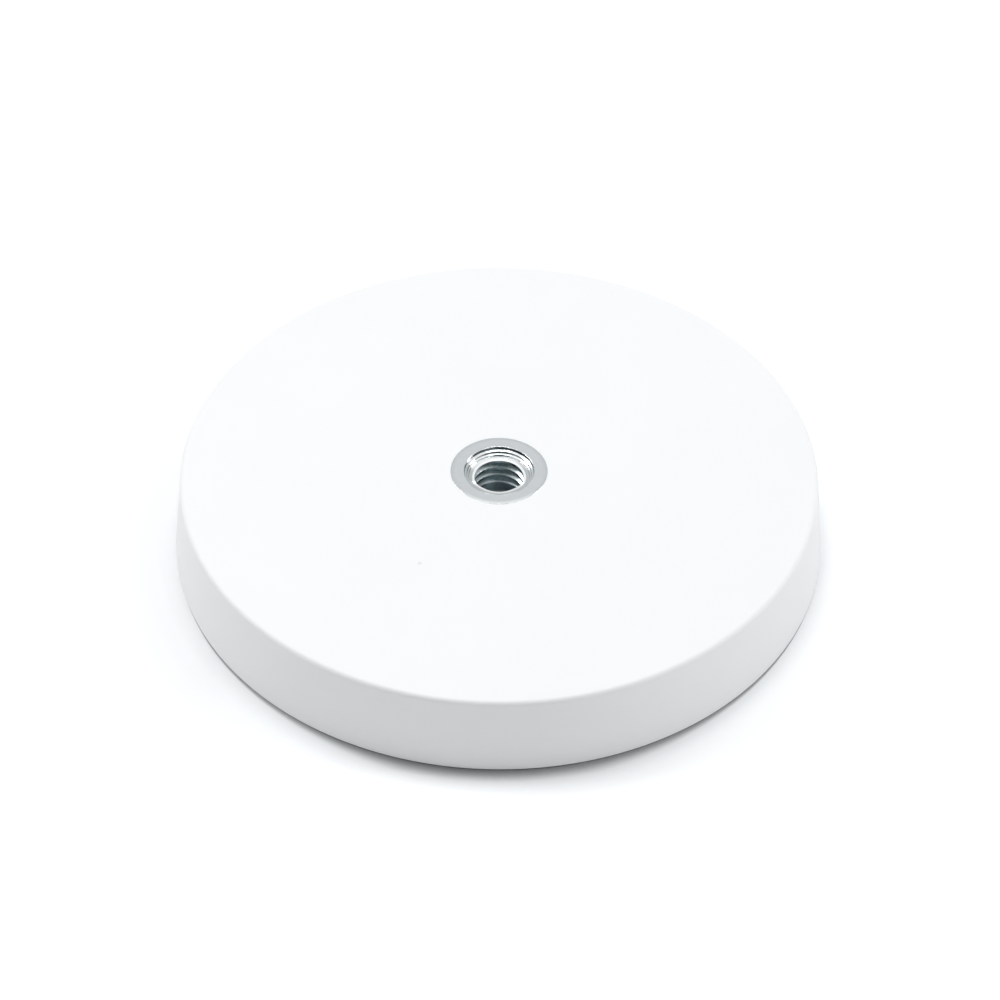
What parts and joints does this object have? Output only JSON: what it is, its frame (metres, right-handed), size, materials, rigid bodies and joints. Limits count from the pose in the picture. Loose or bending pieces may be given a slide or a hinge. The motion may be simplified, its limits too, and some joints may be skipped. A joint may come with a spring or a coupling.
{
  "type": "rubber-jacketed pot magnet",
  "caption": "Flat round pot magnet in a white rubber jacket, with a countersunk threaded steel bush flush in its top and a magnetic face below.",
  "frame": {"origin": "centre of the flat magnetic face, on the thread's axis", "axes": "+Z along the thread's axis, from the magnetic face out of the threaded hole's mouth; X runs through the first magnet"},
  "size_m": [0.066, 0.066, 0.0085],
  "materials": {
    "white_rubber": "matte",
    "plate_steel": "satin",
    "zinc_plated_steel": "satin",
    "magnet_nickel": "polished"
  },
  "bodies": {
    "root": {"rubber_jacket": "white_rubber", "back_plate": "plate_steel", "threaded_bush": "zinc_plated_steel", "magnet_01": "magnet_nickel", "magnet_02": "magnet_nickel", "magnet_03": "magnet_nickel", "magnet_04": "magnet_nickel", "magnet_05": "magnet_nickel", "magnet_06": "magnet_nickel", "magnet_07": "magnet_nickel", "magnet_08": "magnet_nickel", "magnet_09": "magnet_nickel", "magnet_10": "magnet_nickel", "magnet_11": "magnet_nickel", "magnet_12": "magnet_nickel"}
  },
  "joints": []
}
